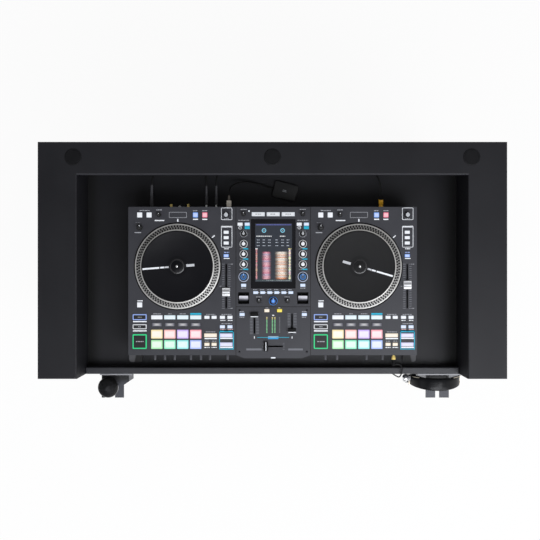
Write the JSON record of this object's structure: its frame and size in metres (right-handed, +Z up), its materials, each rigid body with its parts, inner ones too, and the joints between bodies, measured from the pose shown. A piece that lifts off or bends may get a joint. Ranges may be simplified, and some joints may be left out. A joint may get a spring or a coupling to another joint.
{
  "type": "dj booth",
  "caption": "Black DJ booth: a cabinet with a sunken shelf inside a U-shaped rim, holding a two-deck mixing console with lit pads, plus a microphone and headphones on forked holders.",
  "frame": {"origin": "on the floor, at the middle of the footprint with the holders", "axes": "+X to the DJ's right, +Y from the DJ to the audience, +Z up"},
  "size_m": [1.2, 0.674, 1.0512],
  "materials": {
    "black_laminate": "satin black laminate on board",
    "black_plastic": "fine moulded grain",
    "rubber": "matte",
    "holder_paint": "black powder coat",
    "console_case": "dark painted sheet",
    "console_plate": "dark brushed and anodised",
    "platter_metal": "turned, with a dotted rim",
    "motor_housing": "cast",
    "record_vinyl": "grooved vinyl",
    "lit_keys": "lit translucent caps",
    "lit_pads": "lit silicone",
    "fader_metal": "grooved",
    "paddle_plastic": "lit lever",
    "knob_rubber": "soft touch with a pale cap",
    "display": "glossy display glass",
    "screw_steel": "blackened",
    "socket_metal": "polished",
    "drive_shell": "satin",
    "microphone_metal": "black body and wire ball",
    "headphone_gloss": "gloss black"
  },
  "bodies": {
    "booth": {"top_frame": "black_laminate", "rim_caps": "black_plastic", "left_outer_panel": "black_laminate", "left_inner_panel": "black_laminate", "right_outer_panel": "black_laminate", "right_inner_panel": "black_laminate", "front_posts": "black_laminate", "audience_panel": "black_laminate", "base_panel": "black_laminate", "work_shelf": "black_laminate", "cable_grommets": "rubber", "microphone_holder": "holder_paint", "headphone_holder": "holder_paint", "front_lip": "black_laminate", "console_tray": "console_case", "left_deck_plate": "console_plate", "right_deck_plate": "console_plate", "platter_motors": "motor_housing", "trim_knobs": "knob_rubber", "display_glass": "display", "mixer_plate": "console_plate", "crossfader_plate": "console_plate", "screws": "screw_steel", "rubber_feet": "rubber", "panel_sockets": "socket_metal", "lead_plugs": "black_plastic", "portable_drive": "drive_shell", "rear_leads": "rubber", "headphone_band": "headphone_gloss", "headphone_cord": "rubber"},
    "left_platter": {"left_platter": "platter_metal"},
    "left_record": {"left_record": "record_vinyl"},
    "left_pitch_fader": {"left_pitch_cap": "fader_metal"},
    "left_channel_fader": {"left_channel_cap": "black_plastic"},
    "left_fx_paddle": {"left_fx_paddle": "paddle_plastic"},
    "left_filter_knob": {"left_filter_knob": "knob_rubber"},
    "left_low_knob": {"left_low_knob": "knob_rubber"},
    "left_mid_knob": {"left_mid_knob": "knob_rubber"},
    "left_high_knob": {"left_high_knob": "knob_rubber"},
    "left_level_knob": {"left_level_knob": "knob_rubber"},
    "left_pad_bank": {"left_pads": "lit_pads"},
    "left_key_bank": {"left_deck_buttons": "lit_keys"},
    "left_earcup": {"left_earcup": "headphone_gloss"},
    "right_platter": {"right_platter": "platter_metal"},
    "right_record": {"right_record": "record_vinyl"},
    "right_pitch_fader": {"right_pitch_cap": "fader_metal"},
    "right_channel_fader": {"right_channel_cap": "black_plastic"},
    "right_fx_paddle": {"right_fx_paddle": "paddle_plastic"},
    "right_filter_knob": {"right_filter_knob": "knob_rubber"},
    "right_low_knob": {"right_low_knob": "knob_rubber"},
    "right_mid_knob": {"right_mid_knob": "knob_rubber"},
    "right_high_knob": {"right_high_knob": "knob_rubber"},
    "right_level_knob": {"right_level_knob": "knob_rubber"},
    "right_pad_bank": {"right_pads": "lit_pads"},
    "right_key_bank": {"right_deck_buttons": "lit_keys"},
    "right_earcup": {"right_earcup": "headphone_gloss"},
    "browse_knob": {"browse_knob": "knob_rubber"},
    "crossfader": {"crossfader_cap": "black_plastic"},
    "mixer_key_bank": {"mixer_buttons": "lit_keys"},
    "microphone": {"microphone": "microphone_metal"}
  },
  "joints": [
    {"name": "left_platter_turn", "type": "hinge", "parent": "booth", "child": "left_platter", "pos_m": [-0.2463, 0.0188, 1.02], "axis": [0, 0, 1], "continuous": true},
    {"name": "left_record_slip", "type": "hinge", "parent": "left_platter", "child": "left_record", "pos_m": [-0.2463, 0.0188, 1.02], "axis": [0, 0, 1], "continuous": true},
    {"name": "left_pitch_slide", "type": "slide", "parent": "booth", "child": "left_pitch_fader", "axis": [0, 1, 0], "range_m": [-0.0361, 0.0659]},
    {"name": "left_channel_slide", "type": "slide", "parent": "booth", "child": "left_channel_fader", "axis": [0, 1, 0], "range_m": [-0.045, 0]},
    {"name": "left_fx_tilt", "type": "hinge", "parent": "booth", "child": "left_fx_paddle", "pos_m": [-0.0748, -0.0636, 0.993], "axis": [1, 0, 0], "range_deg": [-20, 20], "stiffness_Nm_per_rad": 0.05},
    {"name": "left_filter_turn", "type": "hinge", "parent": "booth", "child": "left_filter_knob", "pos_m": [-0.0748, -0.0082, 1], "axis": [0, 0, 1], "range_deg": [-150, 150]},
    {"name": "left_low_turn", "type": "hinge", "parent": "booth", "child": "left_low_knob", "pos_m": [-0.0748, 0.0242, 1], "axis": [0, 0, 1], "range_deg": [-150, 150]},
    {"name": "left_mid_turn", "type": "hinge", "parent": "booth", "child": "left_mid_knob", "pos_m": [-0.0748, 0.0508, 1], "axis": [0, 0, 1], "range_deg": [-150, 150]},
    {"name": "left_high_turn", "type": "hinge", "parent": "booth", "child": "left_high_knob", "pos_m": [-0.0748, 0.0774, 1], "axis": [0, 0, 1], "range_deg": [-150, 150]},
    {"name": "left_level_turn", "type": "hinge", "parent": "booth", "child": "left_level_knob", "pos_m": [-0.0748, 0.1038, 1], "axis": [0, 0, 1], "range_deg": [-150, 150]},
    {"name": "left_pads_press", "type": "slide", "parent": "booth", "child": "left_pad_bank", "axis": [0, 0, 1], "range_m": [-0.0015, 0], "stiffness_N_per_m": 800, "springref_m": 0.003},
    {"name": "left_keys_press", "type": "slide", "parent": "booth", "child": "left_key_bank", "axis": [0, 0, 1], "range_m": [-0.0015, 0], "stiffness_N_per_m": 800, "springref_m": 0.003},
    {"name": "left_cup_swivel", "type": "hinge", "parent": "booth", "child": "left_earcup", "pos_m": [0.403, -0.304, 0.82344], "axis": [0, 0, 1], "range_deg": [-85, 20]},
    {"name": "right_platter_turn", "type": "hinge", "parent": "booth", "child": "right_platter", "pos_m": [0.225, 0.0188, 1.02], "axis": [0, 0, 1], "continuous": true},
    {"name": "right_record_slip", "type": "hinge", "parent": "right_platter", "child": "right_record", "pos_m": [0.225, 0.0188, 1.02], "axis": [0, 0, 1], "continuous": true},
    {"name": "right_pitch_slide", "type": "slide", "parent": "booth", "child": "right_pitch_fader", "axis": [0, 1, 0], "range_m": [-0.0545, 0.0475]},
    {"name": "right_channel_slide", "type": "slide", "parent": "booth", "child": "right_channel_fader", "axis": [0, 1, 0], "range_m": [-0.0045, 0.0405]},
    {"name": "right_fx_tilt", "type": "hinge", "parent": "booth", "child": "right_fx_paddle", "pos_m": [0.0792, -0.0636, 0.993], "axis": [1, 0, 0], "range_deg": [-20, 20], "stiffness_Nm_per_rad": 0.05},
    {"name": "right_filter_turn", "type": "hinge", "parent": "booth", "child": "right_filter_knob", "pos_m": [0.0792, -0.0082, 1], "axis": [0, 0, 1], "range_deg": [-150, 150]},
    {"name": "right_low_turn", "type": "hinge", "parent": "booth", "child": "right_low_knob", "pos_m": [0.0792, 0.0242, 1], "axis": [0, 0, 1], "range_deg": [-150, 150]},
    {"name": "right_mid_turn", "type": "hinge", "parent": "booth", "child": "right_mid_knob", "pos_m": [0.0792, 0.0508, 1], "axis": [0, 0, 1], "range_deg": [-150, 150]},
    {"name": "right_high_turn", "type": "hinge", "parent": "booth", "child": "right_high_knob", "pos_m": [0.0792, 0.0774, 1], "axis": [0, 0, 1], "range_deg": [-150, 150]},
    {"name": "right_level_turn", "type": "hinge", "parent": "booth", "child": "right_level_knob", "pos_m": [0.0792, 0.1038, 1], "axis": [0, 0, 1], "range_deg": [-150, 150]},
    {"name": "right_pads_press", "type": "slide", "parent": "booth", "child": "right_pad_bank", "axis": [0, 0, 1], "range_m": [-0.0015, 0], "stiffness_N_per_m": 800, "springref_m": 0.003},
    {"name": "right_keys_press", "type": "slide", "parent": "booth", "child": "right_key_bank", "axis": [0, 0, 1], "range_m": [-0.0015, 0], "stiffness_N_per_m": 800, "springref_m": 0.003},
    {"name": "right_cup_swivel", "type": "hinge", "parent": "booth", "child": "right_earcup", "pos_m": [0.493, -0.304, 0.82344], "axis": [0, 0, 1], "range_deg": [-20, 85]},
    {"name": "browse_turn", "type": "hinge", "parent": "booth", "child": "browse_knob", "pos_m": [0.0022, -0.0712, 1], "axis": [0, 0, 1], "continuous": true},
    {"name": "crossfader_slide", "type": "slide", "parent": "booth", "child": "crossfader", "axis": [1, 0, 0], "range_m": [-0.0035, 0.0415]},
    {"name": "mixer_keys_press", "type": "slide", "parent": "booth", "child": "mixer_key_bank", "axis": [0, 0, 1], "range_m": [-0.0015, 0], "stiffness_N_per_m": 800, "springref_m": 0.003},
    {"name": "microphone_lift", "type": "slide", "parent": "booth", "child": "microphone", "axis": [0, 0, 1], "range_m": [0, 0.18]}
  ]
}
